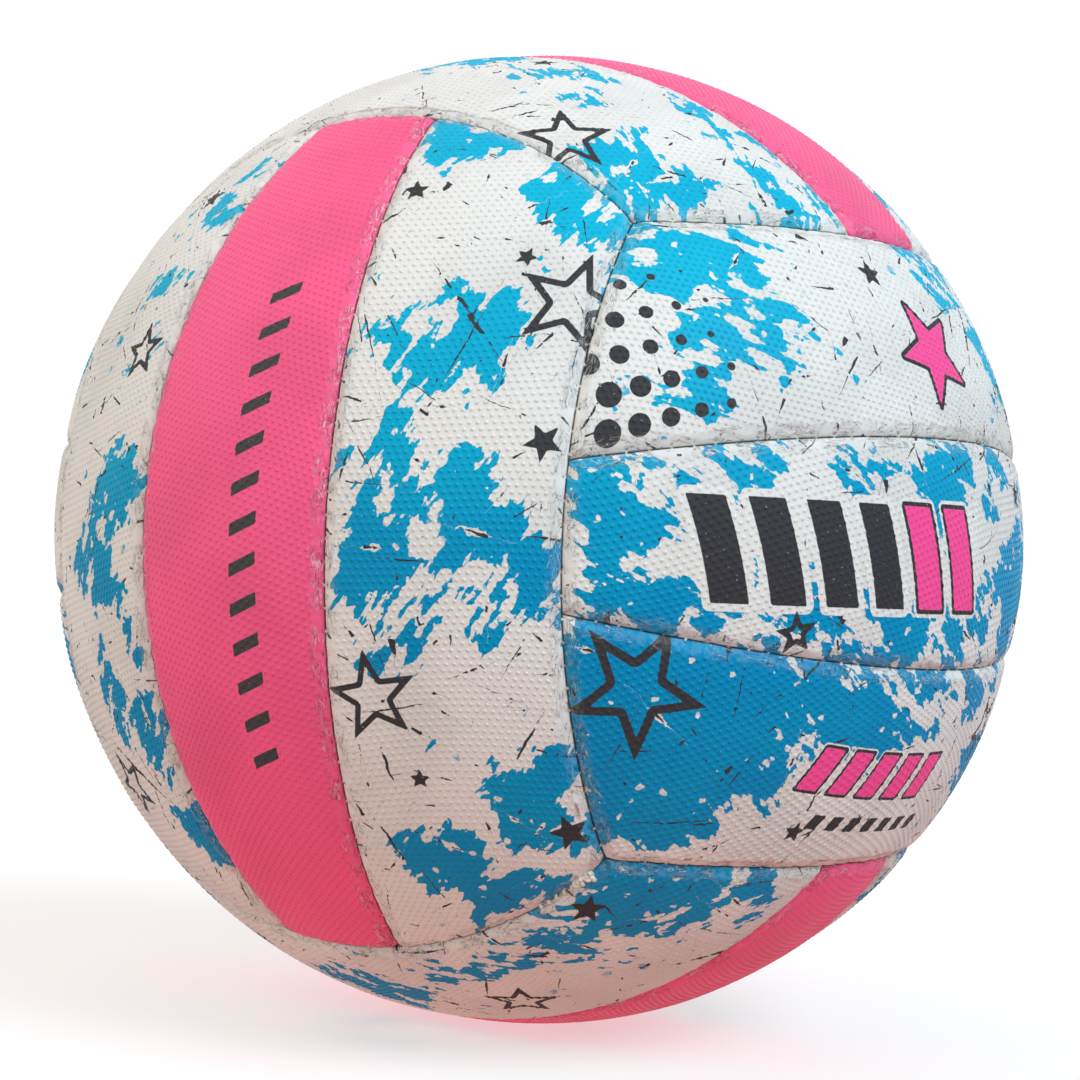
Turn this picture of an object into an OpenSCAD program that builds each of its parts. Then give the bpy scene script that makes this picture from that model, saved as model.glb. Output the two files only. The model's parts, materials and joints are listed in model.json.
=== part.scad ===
// Stitched netball of eighteen panels. Six faces of three strips each, every strip a pimpled
// cover on a cloth lining, sewn together around a rubber bladder with a valve.
// Millimetres. The origin is the ball's centre and +Z is up. The middle of a face lies on each
// axis: the front face is at -Y, the left face at -X, and the valve is in the middle of the back.

/* [Ball] */
// Outer diameter, from a circumference of 700 mm
ball_d = 222.8; // [215:0.1:230]

/* [Panels] */
// Thickness of the pimpled cover
cover_t = 1.4; // [1.2:0.1:1.8]
// Thickness of the cloth lining under the cover
lining_t = 2; // [1.7:0.1:2.8]
// Width of the cover's turned-in edge beside a seam
hem_w = 1.8; // [1.6:0.1:2.6]
// Clearance between a cover and the lining glued into it
glue_gap = 0.05; // [0.02:0.01:0.1]
// Angle at the ball's centre from the middle of a face to the seam of its middle strip
strip_angle = 12.6; // [9:0.1:16]
// Angle at the ball's centre from the middle of a face to its long outer seam
face_angle = 37; // [35:0.5:42]

/* [Seams] */
// Gap between two panels under their rounded edges
seam_gap = 0.3; // [0.2:0.05:0.5]
// Width of the rounded edge on each side of a seam
edge_w = 1.7; // [1.2:0.1:1.8]
// Diameter of the sewing thread
thread_d = 0.9; // [0.6:0.1:1.1]
// Clearance between the thread and the bevelled inner edges that it lies in
thread_gap = 0.05; // [0.02:0.01:0.1]
// Length of seam left free of thread at each end of a run
thread_end = 1.4; // [1:0.1:3]
// Diameter of a closing knot
knot_d = 2.2; // [1.6:0.1:3]
// Distance along the seam from the corner to the first closing knot
knot_start = 5; // [3.5:0.5:8]
// Distance between the two closing knots
knot_pitch = 3.6; // [3.2:0.1:6]

/* [Bladder] */
// Thickness of the bladder's wall
bladder_t = 1; // [0.6:0.1:1.6]
// Clearance between the bladder and the linings
bladder_gap = 0.1; // [0.05:0.05:0.3]

/* [Valve] */
// Diameter of the valve housing's stem
stem_d = 8.4; // [7.8:0.1:10]
// Clearance around the stem in the panel and the bladder
stem_gap = 0.1; // [0.05:0.05:0.3]
// Depth of the valve's face below the panel's surface
valve_recess = 0.5; // [0.3:0.1:0.8]
// Diameter of the flange inside the bladder
flange_d = 24; // [18:1:36]
// Thickness of that flange
flange_t = 1.6; // [1:0.1:2.5]
// Length of the valve housing below the outer surface of the ball
housing_len = 17; // [14:0.5:22]
// Diameter of the valve core
core_d = 4.8; // [4.2:0.1:5.2]
// Diameter of the core's locking ring
core_ring_d = 6; // [5.6:0.1:6.6]
// Height of that ring
core_ring_h = 2; // [1:0.1:3]
// Clearance around the core
core_gap = 0.05; // [0.02:0.01:0.1]
// Diameter of the needle channel through the core
needle_d = 2; // [1.6:0.1:2.4]
// Thickness of the housing's floor under the core
floor_t = 1.6; // [1:0.1:2.5]
// Diameter of the air hole in that floor
air_hole_d = 2.6; // [2.4:0.1:3.4]

/* [Hidden] */
AXES = [["top", "bottom"], ["right", "left"], ["back", "front"]];
PLACES = [
    [["left", "middle", "right"], ["right", "middle", "left"]],
    [["front", "middle", "back"], ["back", "middle", "front"]],
    [["lower", "middle", "upper"], ["upper", "middle", "lower"]]
];
FACES = [for (axis = [0:2]) for (end = [0:1]) AXES[axis][end]];
PANELS = [for (axis = [0:2]) for (end = [0:1]) for (place = PLACES[axis][end])
    str(AXES[axis][end], "_", place)];

pink = [0.95, 0.3, 0.55];
print_blue = [0.1, 0.65, 0.85];
ball_white = [0.93, 0.93, 0.92];
cloth_grey = [0.82, 0.8, 0.76];
thread_white = [0.95, 0.94, 0.9];
rubber_black = [0.12, 0.12, 0.13];
rubber_grey = [0.35, 0.35, 0.37];

ball_r = ball_d / 2;
lining_r = ball_r - cover_t;
wall_r = lining_r - lining_t;
bladder_r = wall_r - bladder_gap;
bladder_in_r = bladder_r - bladder_t;
thread_r = thread_d / 2;
overrun = 2 * cover_t;
reach = 1.2 * ball_r;
$fn = 144;

// Share of the radius that a cube's corner direction has along each axis
corner_share = 1 / sqrt(3);
// Every seam is a flat cut. This is the tilt of a long seam's axis away from its face, which
// makes the seam pass through both corners and through its middle at face_angle.
seam_tilt = atan2(sin(face_angle) - corner_share, cos(face_angle) - corner_share);
// Angle of a long seam about its axis, seen from the ball's centre, and its distance along it
seam_cone = acos(corner_share * (cos(seam_tilt) - sin(seam_tilt)));
seam_level = ball_r * cos(seam_cone);
// Half the angle of a long seam's arc, from its middle to a corner
long_half = asin(corner_share / sin(seam_cone));
// Half the angle of a strip seam's arc, from its middle to the long seam that ends it
strip_lift = norm([cos(seam_tilt) * cos(strip_angle), sin(seam_tilt)]);
strip_half = acos(cos(seam_cone) / strip_lift) - atan(tan(seam_tilt) / cos(strip_angle));
// Legs of the bevel on the inner edges, which leave room for the thread on the bladder
bevel = (thread_r + thread_gap) * sqrt(2) + thread_r / sin(seam_cone);

// Radius of the rounded edge on the panel below a seam's plane (side 1) or above it (-1)
function edge_radius(level, side, width) =
    width * tan((side > 0 ? 180 - acos(level / ball_r) : acos(level / ball_r)) / 2);
// Middle of that rounding in the seam's profile: [distance from the axis, height along it]
function edge_centre(level, side, inset, width) =
    let (radius = edge_radius(level, side, width), height = level - side * (inset + radius))
    [sqrt(pow(ball_r - radius, 2) - pow(height, 2)), height];
// Outer one of the two points at distance da from a and db from b
function outer_meeting(a, da, b, db) =
    let (gap = norm(b - a), along = (gap * gap + da * da - db * db) / (2 * gap), way = (b - a) / gap)
    a + way * along + [-way[1], way[0]] * -sqrt(da * da - along * along);

// Turns a part of the top face's frame to another face. Across the strips is X, along them is Y.
module on_face(axis, end) {
    rotate(a = 120 * axis, v = [1, 1, 1])
        rotate([0, 180 * end, 0])
            children();
}

// What lies beyond the seam given by $level and $side. The wall stands inset from the seam, the
// outer edge is rounded over width and the inner edge is bevelled over leg.
module beyond_seam(inset, width, leg) {
    wall = $level - $side * inset;
    rotate_extrude()
        difference() {
            union() {
                polygon([[0, wall], [reach, wall], [reach, $side * reach], [0, $side * reach]]);
                if (width > 0)
                    edge_corner(wall, edge_centre($level, $side, inset, width));
                if (leg > 0)
                    bevel_corner(wall, leg);
            }
            if (width > 0)
                translate(edge_centre($level, $side, inset, width))
                    circle(r = edge_radius($level, $side, width));
        }
}

// The square of a profile that a rounded edge is cut from, from the middle of the rounding out
module edge_corner(wall, centre) {
    polygon([[centre[0], wall], centre, [reach, centre[1]], [reach, wall]]);
}

// The triangle that bevels an inner edge, with its long side 45 degrees to the wall
module bevel_corner(wall, leg) {
    foot = sqrt(pow(wall_r, 2) - pow(wall, 2));
    polygon([
        [foot + leg, wall],
        [foot - overrun, wall],
        [foot - overrun, wall - $side * (leg + overrun)]
    ]);
}

// A run of thread about a seam's axis, on the bladder
module thread_arc(level, start, half_angle) {
    seat_r = wall_r + thread_r;
    rotate([0, 0, start - half_angle])
        rotate_extrude(angle = 2 * half_angle)
            translate([sqrt(pow(seat_r, 2) - pow(level, 2)), level])
                circle(r = thread_r, $fn = 24);
}

// Runs its children once on each seam of a panel of the top face, with the seam's axis as Z and
// $level and $side set. A strip is 0 in the middle, -1 on the left of its face, 1 on the right.
module on_seams(strip) {
    for (turn = [-1, 1]) {
        $level = seam_level;
        $side = -1;
        rotate([turn * seam_tilt, 0, 0])
            children();
    }
    if (strip == 0)
        for (turn = [-1, 1]) {
            $level = 0;
            $side = 1;
            rotate([0, turn * (90 + strip_angle), 0])
                children();
        }
    if (strip != 0) {
        rotate([0, strip * (strip_angle - 90), 0]) {
            $level = 0;
            $side = 1;
            children();
        }
        rotate([0, strip * (90 + seam_tilt), 0]) {
            $level = seam_level;
            $side = 1;
            children();
        }
    }
}

// A piece of shell between two radii, bounded by the four seams of a panel
module panel_block(strip, outer, inner, inset, width, leg) {
    difference() {
        rotate([0, 90, 0])
            difference() {
                sphere(r = outer);
                sphere(r = inner);
            }
        on_seams(strip)
            beyond_seam(inset, width, leg);
    }
}

// The hole that the valve's stem comes out through
module stem_hole() {
    cylinder(d = stem_d + 2 * stem_gap, h = ball_r + overrun);
}

// Pimpled cover of a panel, with its edges turned in around the lining
module cover(strip, has_valve) {
    difference() {
        panel_block(strip, ball_r, wall_r, seam_gap / 2, edge_w, bevel);
        panel_block(strip, lining_r, wall_r - overrun, seam_gap / 2 + hem_w, 0, 0);
        if (has_valve)
            stem_hole();
    }
}

// Cloth lining, laminated into the cover's back
module lining(strip, has_valve) {
    color(cloth_grey)
        difference() {
            panel_block(strip, lining_r - glue_gap, wall_r, seam_gap / 2 + hem_w + glue_gap, 0, 0);
            if (has_valve)
                stem_hole();
        }
}

// Thread in the seams that a face owns: its two strip seams and its two long seams
module thread() {
    end_angle = thread_end / ball_r * 180 / PI;
    color(thread_white)
        for (turn = [-1, 1]) {
            start = turn > 0 ? 180 : 0;
            rotate([0, turn * (90 + strip_angle), 0])
                thread_arc(0, start, strip_half - end_angle);
            rotate([0, turn * (90 + seam_tilt), 0])
                thread_arc(seam_level, start, long_half - end_angle / sin(seam_cone));
        }
}

// Two closing knots on the rounded edges of the bottom face's long seam, beside the corner of the
// left, front and bottom faces
module closing_knots() {
    knot_r = knot_d / 2;
    inset = seam_gap / 2;
    seat = outer_meeting(
        edge_centre(seam_level, 1, inset, edge_w),
        edge_radius(seam_level, 1, edge_w) + knot_r + thread_gap,
        edge_centre(seam_level, -1, inset, edge_w),
        edge_radius(seam_level, -1, edge_w) + knot_r + thread_gap
    );
    color(thread_white)
        for (step = [0:1]) {
            from_middle = long_half - (knot_start + step * knot_pitch) / seat[0] * 180 / PI;
            on_face(0, 1)
                rotate([0, 90 + seam_tilt, 0])
                    rotate([0, 0, 180 + from_middle])
                        translate([seat[0], 0, seat[1]])
                            sphere(r = knot_r, $fn = 36);
        }
}

// Rubber bladder, with the hole that the valve housing is vulcanised into
module bladder() {
    color(rubber_black)
        difference() {
            sphere(r = bladder_r);
            sphere(r = bladder_in_r);
            on_face(2, 0)
                stem_hole();
        }
}

// Rubber valve housing: a stem out through the wall, a flange under the bladder and the body
module valve_housing() {
    face_z = ball_r - valve_recess;
    floor_z = ball_r - housing_len;
    pocket_z = floor_z + floor_t;
    color(rubber_grey)
        on_face(2, 0)
            difference() {
                union() {
                    translate([0, 0, floor_z])
                        cylinder(d = stem_d, h = face_z - floor_z);
                    intersection() {
                        difference() {
                            sphere(r = bladder_in_r - glue_gap);
                            sphere(r = bladder_in_r - glue_gap - flange_t);
                        }
                        cylinder(d = flange_d, h = ball_r);
                    }
                }
                translate([0, 0, pocket_z])
                    core_form(core_gap);
                cylinder(d = air_hole_d, h = ball_r);
            }
}

// Outer form of the valve core, from its foot up past the valve's face, grown by a clearance
module core_form(gap) {
    pocket_len = housing_len - floor_t;
    ring_z = (pocket_len - valve_recess - core_ring_h) / 2;
    cylinder(d = core_d + 2 * gap, h = gap > 0 ? pocket_len : pocket_len - valve_recess);
    translate([0, 0, ring_z - gap])
        cylinder(d = core_ring_d + 2 * gap, h = core_ring_h + 2 * gap);
}

// Rubber valve core with its locking ring and the channel for the needle
module valve_core() {
    color(rubber_black)
        on_face(2, 0)
            translate([0, 0, ball_r - housing_len + floor_t])
                difference() {
                    core_form(0);
                    translate([0, 0, -overrun])
                        cylinder(d = needle_d, h = housing_len + 2 * overrun);
                }
}

for (axis = [0:2])
    for (end = [0:1]) {
        face = AXES[axis][end];
        for (strip = [-1:1]) {
            panel = str(face, "_", PLACES[axis][end][strip + 1]);
            has_valve = face == "back" && strip == 0;
            colour = strip != 0 ? ball_white : (axis == 2 ? print_blue : pink);
            color(colour) on_face(axis, end) cover(strip, has_valve);
            on_face(axis, end) lining(strip, has_valve);
        }
        on_face(axis, end) thread();
    }
closing_knots();
bladder();
valve_housing();
valve_core();
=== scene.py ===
import json
import bmesh
import bpy
import numpy as np
from mathutils import Matrix, Vector
from mathutils.geometry import delaunay_2d_cdt


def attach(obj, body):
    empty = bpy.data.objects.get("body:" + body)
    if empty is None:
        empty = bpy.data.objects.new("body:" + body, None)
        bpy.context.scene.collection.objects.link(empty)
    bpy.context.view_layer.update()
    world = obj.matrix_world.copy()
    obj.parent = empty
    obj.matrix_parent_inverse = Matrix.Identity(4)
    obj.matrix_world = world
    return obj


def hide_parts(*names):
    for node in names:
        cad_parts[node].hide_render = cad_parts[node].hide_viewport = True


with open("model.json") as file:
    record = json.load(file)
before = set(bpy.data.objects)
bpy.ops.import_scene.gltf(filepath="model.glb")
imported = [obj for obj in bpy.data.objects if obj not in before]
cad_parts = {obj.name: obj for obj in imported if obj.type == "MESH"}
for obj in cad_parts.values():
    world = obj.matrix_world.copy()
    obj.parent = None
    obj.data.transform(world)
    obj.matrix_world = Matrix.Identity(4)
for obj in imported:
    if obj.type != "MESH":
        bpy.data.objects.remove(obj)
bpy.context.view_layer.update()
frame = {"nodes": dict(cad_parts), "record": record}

# Metres in a millimetre
MM = 0.001

# Sizes of part.scad, in millimetres and radians
BALL_R = 111.4
LINING_R = 110.0
WALL_R = 108.0
STRIP_ANGLE = np.radians(12.6)
FACE_ANGLE = np.radians(37)
HALF_GAP = 0.15
HEM_IN = 1.95
BEVEL = 1.23
STEM_HOLE_R = 4.3
KNOT_START = 5.0
KNOT_PITCH = 3.6

CORNER = 1 / np.sqrt(3)
TILT = np.arctan2(np.sin(FACE_ANGLE) - CORNER, np.cos(FACE_ANGLE) - CORNER)
CONE = np.arccos(CORNER * (np.cos(TILT) - np.sin(TILT)))
SIDE_MIDDLE = (STRIP_ANGLE + FACE_ANGLE) / 2

AXES = [["top", "bottom"], ["right", "left"], ["back", "front"]]
PLACES = [
    [["left", "middle", "right"], ["right", "middle", "left"]],
    [["front", "middle", "back"], ["back", "middle", "front"]],
    [["lower", "middle", "upper"], ["upper", "middle", "lower"]],
]

# Surface detail, in millimetres
PITCH = 1.65
ROW = PITCH * np.sqrt(3) / 2
PIMPLE_H = 0.24
LIP = 0.06
EDGE_W = 2.7
EDGE_DROP = 1.12
CROWN = 0.5
CROWN_W = 7
SWELL = 0.1
REST_R = BALL_R - 0.32
STITCH_PITCH = 4.6
STITCH_PULL = 0.22
HOLE_DEPTH = 0.5
CREASE_H = 0.15
RING_STEP = 0.45
OUTER_RINGS = [0.06, 0.12, 0.24, 0.42, 0.68, 1.0, 1.38, 1.8, 2.25]
BACK_STEP = 6.0
# How far the rows of pimples wander and over what length, and how far they lean, in radians
WANDER, WANDER_SIZE, LEAN = 3.6, 46, 0.3
# Where the pimples' rows repeat: three directions of the sheet, in turns per millimetre
ROW_WAYS = [(1 / PITCH, -0.5 / ROW, 0), (0, 1 / ROW, 0), (1 / PITCH, 0.5 / ROW, 0)]
# The outer rings of the valve's mouth: radius, and depth under the cover's surface
VALVE_MOUTH = [(STEM_HOLE_R, 0.5), (4.42, 0.2), (4.7, 0.05), (5.2, 0), (5.9, 0)]
MOUTH_SIDES = 72

# Thread, in millimetres, with its twist in radians per millimetre
CORD_R, CORD_AT, CORD_TWIST = 0.4, 108.5, 2.4
STITCH_R, STITCH_DEPTH, STITCH_TWIST = 0.3, 1.6, 3.0
KNOT_R, KNOT_SIZE, KNOT_GAP = 0.48, 0.33, KNOT_PITCH * 0.68
LAST_STITCH_R, LAST_STITCH_DEPTH = 0.34, 0.75

# Seeds of each cover's relief, one after the other, and of the way its pimples wander
COVER_SEED, WANDER_SEED = 40, 500

# Parts of a cover's mesh
FRONT, WALL, BACK = range(3)


# The ball's panels

def face_axes(axis, end):
    """Across, along and outward directions of a face, as in part.scad."""
    across, along, out = np.eye(3)
    if end:
        across, out = -across, -out
    return np.array([np.roll(v, axis) for v in (across, along, out)])


class Seam:
    """Flat cut along a panel's side: its normal into the panel, its level on that, and its middle."""

    def __init__(self, normal, level, middle):
        self.normal, self.level, self.middle = np.array(normal), level, np.array(middle)
        self.side = np.cross(self.normal, self.middle)
        # Radius of the seam's circle as a share of the ball's
        self.circle = np.sqrt(1 - level ** 2)

    def height(self, inset):
        """Level of the line at a distance in from the seam."""
        return np.sin(np.arcsin(self.level) + inset / BALL_R)

    def turn(self, x):
        """Angle of a direction along the seam, from its middle."""
        return np.arctan2(x @ self.side, x @ self.middle)

    def points(self, turn, height):
        """Directions at angles along the seam and at a level."""
        turn, height = np.asarray(turn)[..., None], np.asarray(height)[..., None]
        flat = np.cos(turn) * self.middle + np.sin(turn) * self.side
        return height * self.normal + np.sqrt(1 - height * height) * flat


def panel_seams(strip):
    """The four seams of a panel, counterclockwise from its right side."""
    across, up = np.cos(STRIP_ANGLE), np.sin(STRIP_ANGLE)
    flat, steep = np.cos(TILT), np.sin(TILT)
    end_level = np.cos(CONE)
    ends = [Seam([0, -s * steep, flat], end_level, [0, s * flat, steep]) for s in (1, -1)]
    strip_seam = {s: Seam([-s * across, 0, up], 0, [s * up, 0, across]) for s in (1, -1)}
    if strip == 0:
        right, left = strip_seam[1], strip_seam[-1]
    else:
        outer = Seam([-strip * flat, 0, steep], -end_level, [strip * steep, 0, flat])
        inner = Seam(-strip_seam[strip].normal, 0, strip_seam[strip].middle)
        right, left = (outer, inner) if strip > 0 else (inner, outer)
    return [right, ends[0], left, ends[1]]


def seam_distances(seams, x):
    """Distance in from each seam, and position along it from its middle."""
    distances, alongs = [], []
    for s in seams:
        distances.append(BALL_R * (np.arcsin(np.clip(x @ s.normal, -1, 1)) - np.arcsin(s.level)))
        alongs.append(s.turn(x) * BALL_R * s.circle)
    return np.array(distances), np.array(alongs)


def nearest_seam(distances, alongs):
    """Number of the seam that is nearest to each point, and the position along it."""
    nearest = distances.argmin(0)
    return nearest, np.take_along_axis(alongs, nearest[None], 0)[0]


def inset_corner(first, second, inset):
    """Where the lines at a distance in from two seams meet."""
    one, other = first.height(inset), second.height(inset)
    lean = first.normal @ second.normal
    p, q = (one - other * lean) / (1 - lean * lean), (other - one * lean) / (1 - lean * lean)
    rest = np.sqrt((1 - (p * p + q * q + 2 * p * q * lean)) / (1 - lean * lean))
    across = np.cross(first.normal, second.normal)
    found = [p * first.normal + q * second.normal + sign * rest * across for sign in (1, -1)]
    return max(found, key=lambda x: x[2])


def side_ends(seams, k, inset):
    """First and last corner of a panel's side."""
    return [inset_corner(seams[k - 1], seams[k], inset), inset_corner(seams[k], seams[(k + 1) % 4], inset)]


def ring(seams, inset, counts):
    """Closed line of unit directions at a distance in from a panel's seams."""
    points = []
    for k, s in enumerate(seams):
        first, last = (s.turn(x) for x in side_ends(seams, k, inset))
        points.append(s.points(np.linspace(first, last, counts[k], endpoint=False), s.height(inset)))
    return np.concatenate(points)


def side_counts(seams, step):
    """How many points each side of a panel's rings has."""
    lengths = [np.linalg.norm(np.subtract(*side_ends(seams, k, 0))) for k in range(4)]
    return [max(6, int(length * BALL_R * 1.1 / step)) for length in lengths]


def to_sheet(x, strip):
    """Flat coordinates of a panel's sheet, in millimetres."""
    latitude = np.arcsin(np.clip(x[:, 1], -1, 1))
    longitude = np.arctan2(x[:, 0], x[:, 2]) - strip * SIDE_MIDDLE
    return np.stack([BALL_R * np.cos(latitude) * longitude, BALL_R * latitude], 1)


def from_sheet(u, v, strip):
    """Unit directions of places on a panel's sheet."""
    latitude = v / BALL_R
    longitude = strip * SIDE_MIDDLE + u / (BALL_R * np.cos(latitude))
    x = [np.sin(longitude) * np.cos(latitude), np.sin(latitude), np.cos(longitude) * np.cos(latitude)]
    return np.stack(x, -1)


# Relief of the covers

def smooth(x, low, high):
    t = np.clip((x - low) / (high - low), 0, 1)
    return t * t * (3 - 2 * t)


class Bumps:
    """Smooth seeded noise of two coordinates, from -1 to 1."""

    COLUMNS, LINES = 97, 89

    def __init__(self, seed):
        self.table = np.random.default_rng(seed).uniform(-1, 1, (self.COLUMNS, self.LINES))

    def __call__(self, x, y):
        i, j = np.floor(x).astype(int), np.floor(y).astype(int)
        a, b = smooth(x - i, 0, 1), smooth(y - j, 0, 1)
        at = lambda m, n: self.table[(i + m) % self.COLUMNS, (j + n) % self.LINES]
        low = at(0, 0) * (1 - a) + at(1, 0) * a
        high = at(0, 1) * (1 - a) + at(1, 1) * a
        return low * (1 - b) + high * b


def grain_places(u, v, seed):
    """Sheet coordinates in which the rows of pimples run straight: on the cover they lean and wander."""
    bend = Bumps(seed + WANDER_SEED)
    far = np.stack([u, v]) / WANDER_SIZE
    u, v = u + WANDER * bend(*far), v + WANDER * bend(*(far + 40))
    lean = LEAN * np.sin(2.1 * seed)
    return u * np.cos(lean) + v * np.sin(lean), v * np.cos(lean) - u * np.sin(lean)


def pimples(u, v):
    """Height from 0 to 1 of round pimples in staggered rows."""
    waves = sum(np.cos(2 * np.pi * (way[0] * u + way[1] * v)) for way in ROW_WAYS)
    return smooth(waves, 0.0, 3)


def stitch_places(alongs):
    """Distance along each seam from the nearest stitch, and how hard that one is pulled."""
    number = np.floor(alongs / STITCH_PITCH)
    force = 0.62 + 0.38 * np.sin(number * 2.4) * np.cos(number * 0.7 + 1)
    return (alongs / STITCH_PITCH - number - 0.5) * STITCH_PITCH, force


def surface_radius(seams, strip, seed, x):
    """Distance from the ball's centre to the cover's outer surface in each direction."""
    distances, alongs = seam_distances(seams, x)
    inside = np.clip(distances - LIP, 0, None)
    near = distances.min(0)
    u, v = to_sheet(x, strip).T
    bumps = Bumps(seed)
    roll = 1 - np.sqrt(1 - np.clip(1 - inside / EDGE_W, 0, 1) ** 2)
    drop = EDGE_DROP * (1 + 0.2 * bumps(u / 6 + 17, v / 6))
    height = REST_R - drop * np.minimum(roll.sum(0), 1.25)
    height += CROWN * (1 - np.exp(-np.clip(near, 0, None) / CROWN_W))
    height += SWELL * bumps(u / 19, v / 19) * smooth(near, 1, 8)
    # Each stitch pulls the edge in and leaves a hole
    offset, force = stitch_places(alongs)
    pull = np.exp(-(offset / 1.4) ** 2 - (inside / 2.1) ** 2)
    hole = np.exp(-(offset / 0.55) ** 2 - ((inside - 0.62) / 0.36) ** 2)
    height -= (force * (STITCH_PULL * pull + HOLE_DEPTH * hole)).max(0)
    # Creases beside the seams, drawn out along them
    nearest, along = nearest_seam(distances, alongs)
    creases = bumps(along / 3.6 + 7 * nearest, near / 0.9) + 0.7 * bumps(along / 1.5, near / 0.6 + 9)
    height += CREASE_H * creases * np.exp(-((near - 2) / 1.5) ** 2)
    # Pimples, worn a little in places, end before the seam
    worn = 0.88 + 0.22 * bumps(u / 9 + 31, v / 9)
    height += PIMPLE_H * worn * pimples(*grain_places(u, v, seed)) * smooth(near, 1.3, 3.1)
    return height


# Printed pattern

def turned(points, centre, angle):
    """Points about a centre, turned back by an angle in degrees."""
    c, s = np.cos(np.radians(angle)), np.sin(np.radians(angle))
    p = points - np.array(centre)
    return np.stack([c * p[:, 0] + s * p[:, 1], -s * p[:, 0] + c * p[:, 1]], 1)


def polygon_depth(points, corners):
    """Depth inside a polygon, negative outside."""
    corners = np.array(corners, float)
    away = np.full(len(points), 1e9)
    odd = np.zeros(len(points), bool)
    for a, b in zip(corners, np.roll(corners, -1, 0)):
        edge, p = b - a, points - a
        share = np.clip(p @ edge / (edge @ edge), 0, 1)
        away = np.minimum(away, np.linalg.norm(p - share[:, None] * edge, axis=1))
        crosses = (a[1] > points[:, 1]) != (b[1] > points[:, 1])
        rise = b[1] - a[1] if b[1] != a[1] else 1.0
        odd ^= crosses & (points[:, 0] < edge[0] * (points[:, 1] - a[1]) / rise + a[0])
    return np.where(odd, away, -away)


def star_corners(radius, waist=0.42):
    turns = np.pi / 2 + np.arange(10) * np.pi / 5
    reach = np.where(np.arange(10) % 2, radius * waist, radius)
    return np.stack([reach * np.cos(turns), reach * np.sin(turns)], 1)


def star(points, u, v, radius, angle, line=0):
    depth = polygon_depth(turned(points, (u, v), angle), star_corners(radius))
    return line / 2 - np.abs(depth - line / 2) if line else depth


def bar(points, u, v, width, height, slant):
    """Slanted bar, its width along the panel and its height across it."""
    w, h = width / 2, height / 2
    corners = [(-h, -w - slant * h), (h, -w + slant * h), (h, w + slant * h), (-h, w - slant * h)]
    return polygon_depth(points - (u, v), corners)


def disc(points, u, v, radius):
    return radius - np.hypot(points[:, 0] - u, points[:, 1] - v)


def blob(points, u, v, across, along, angle=0):
    """Rough depth inside an oval."""
    p = turned(points, (u, v), angle)
    return (1 - np.hypot(p[:, 0] / across, p[:, 1] / along)) * min(across, along)


# Blue paint on each panel: ovals as (across, along, half width, half length, angle)
BLUE = {
    "top_left": [(13, 4, 9, 20), (3, -32, 5, 9), (-20, -63, 9, 12, 20), (5, -88, 9, 8), (16, -60, 5, 8)],
    "left_front": [
        (-7, 91, 10, 7), (18, 71, 9, 12, 25), (-14, 38, 5, 4), (0, 36, 8, 9, -30), (9, 43, 4, 5),
        (-9, 9, 11, 11), (-11, -8, 11, 13), (7, 2, 12, 7, -40), (12, -12, 7, 6), (17, -56, 9, 12, 30),
        (5, -70, 12, 10, 60), (23, -48, 6, 8), (17, -74, 9, 7),
    ],
    "left_back": [
        (11, 5, 8, 12), (6, -10, 9, 10), (5, -37, 6, 10), (14, -50, 5, 10), (9, 62, 5, 13), (16, -71, 6, 9),
    ],
    "front_upper": [
        (-19, -67, 9, 15), (-3, -66, 6, 9), (8, -73, 7, 8), (-17, 12, 6, 13), (0, -52, 4, 6), (4, 30, 8, 12),
        (-10, 62, 12, 14),
    ],
    "front_middle": [
        (2, -93, 14, 10), (-13, -97, 8, 9), (13, -84, 9, 17), (-15, -14, 7, 21), (17, -18, 7, 36),
        (-14, -66, 5, 5), (4, 30, 14, 18), (-12, 66, 9, 14), (12, 78, 10, 12),
    ],
    "front_lower": [
        (-6, -74, 24, 32), (8, -76, 22, 24), (-15, -34, 12, 24), (-21, -8, 6, 28), (2, 34, 10, 12),
        (14, 58, 8, 15), (-14, 62, 8, 10),
    ],
    "bottom_left": [
        (19, -66, 13, 20), (9, -84, 13, 12), (15, -38, 5, 13), (3, 2, 9, 12), (-10, 18, 6, 9),
        (8, 60, 12, 12),
    ],
}

# Stars on each panel as (across, along, radius, angle, line width), the last only for those in outline
STARS = {
    "top_left": [(-21, -46, 11, 20, 1.3), (12, -20, 3.4, 10), (-8, 42, 8, 40, 1.1)],
    "left_front": [
        (22, 47, 12, -14, 1.4), (-13, -33, 10, 12, 1.2), (19, 18, 4.2, 30), (-13, 74, 3.2, 5),
        (25, -61, 4.6, 20), (-4, -50, 2.4, 0), (12, 57, 2.6, 50),
    ],
    "left_back": [(12, 36, 7, 8, 1.1), (-6, -60, 9, 24, 1.2), (2, 76, 3.6, 15)],
    "front_upper": [(-13, -19, 3.8, 12), (8, 40, 9, 30, 1.2), (-16, 70, 4.2, 0)],
    "front_middle": [(17, -53, 5, 30, 1.1), (-14, 30, 4, 12), (12, 44, 9, 50, 1.3)],
    "front_lower": [(-6, -83, 15, 4, 1.8), (15, -34, 3, 20), (-8, 30, 9, 44, 1.3), (10, 76, 4, 0)],
    "bottom_left": [(23, -60, 4.4, 16), (-4, -30, 9, 30, 1.2), (10, 34, 4, 10)],
}


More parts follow.
